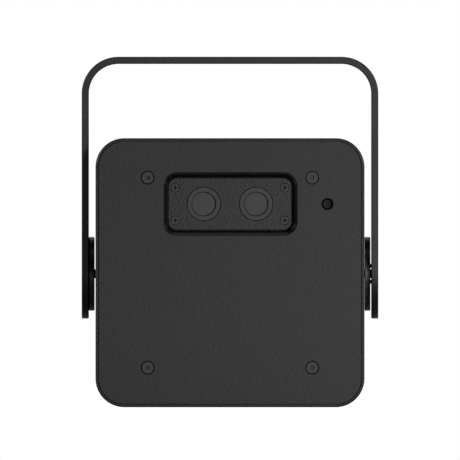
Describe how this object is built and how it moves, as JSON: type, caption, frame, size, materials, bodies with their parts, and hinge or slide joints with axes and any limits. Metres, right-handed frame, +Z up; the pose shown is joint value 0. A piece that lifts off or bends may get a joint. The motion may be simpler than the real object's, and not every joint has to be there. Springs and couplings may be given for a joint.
{
  "type": "yoke-mounted scanner head",
  "caption": "Square black scanner head with a recessed twin-lens window and a finned rear cover, hung in a U-shaped yoke that tilts about side pivots.",
  "frame": {"origin": "middle of the object's box at the height of the housing's flat underside", "axes": "+Z up along the yoke's legs, -Y out of the front panel, +X to the right seen from the front"},
  "size_m": [0.1654, 0.092, 0.1954],
  "materials": {
    "powder_coat": "satin",
    "black_anodised": "satin",
    "black_steel": "satin",
    "bright_steel": "satin",
    "filter_glass": "satin",
    "lens_glass": "gloss",
    "indicator_plastic": "gloss",
    "seal_rubber": "matte",
    "circuit_board": "satin",
    "chip_plastic": "matte",
    "ceramic": "matte",
    "brass": "satin",
    "heat_pad": "matte",
    "capacitor_can": "satin",
    "ribbon_film": "satin"
  },
  "bodies": {
    "housing": {"housing_shell": "powder_coat", "front_panel": "powder_coat", "rear_cover": "powder_coat", "sensor_plate": "black_anodised", "lens_ring_left": "black_anodised", "lens_ring_right": "black_anodised", "camera_barrel": "black_anodised", "projector_barrel": "black_anodised", "optics_block": "black_anodised", "front_panel_screws": "black_steel", "sensor_plate_screws": "black_steel", "rear_cover_screws": "black_steel", "pivot_bolt_left": "black_steel", "pivot_bolt_right": "black_steel", "sensor_board_screws": "bright_steel", "pivot_bush_left": "bright_steel", "pivot_bush_right": "bright_steel", "network_socket": "bright_steel", "window_glass_left": "filter_glass", "window_glass_right": "filter_glass", "camera_front_lens": "lens_glass", "camera_rear_lens": "lens_glass", "projector_diffuser": "lens_glass", "projector_lens": "lens_glass", "indicator_lens": "indicator_plastic", "front_gasket": "seal_rubber", "rear_gasket": "seal_rubber", "sensor_plate_seal": "seal_rubber", "window_seal_left": "seal_rubber", "window_seal_right": "seal_rubber", "sensor_board": "circuit_board", "main_board": "circuit_board", "image_sensor": "chip_plastic", "processor": "chip_plastic", "memory_chips": "chip_plastic", "power_module": "chip_plastic", "ribbon_sockets": "chip_plastic", "power_socket": "chip_plastic", "projector_emitter": "ceramic", "indicator_led": "ceramic", "front_pillars": "brass", "rear_pillars": "brass", "network_contacts": "brass", "power_pin": "brass", "heat_pad": "heat_pad", "capacitors": "capacitor_can", "sensor_ribbon": "ribbon_film"},
    "yoke": {"yoke": "powder_coat", "friction_disc_left": "black_anodised", "friction_disc_right": "black_anodised", "disc_key_pins": "bright_steel"}
  },
  "joints": [
    {"name": "yoke_tilt", "type": "hinge", "parent": "housing", "child": "yoke", "pos_m": [0, -0.006, 0.0744], "axis": [1, 0, 0], "continuous": true}
  ]
}
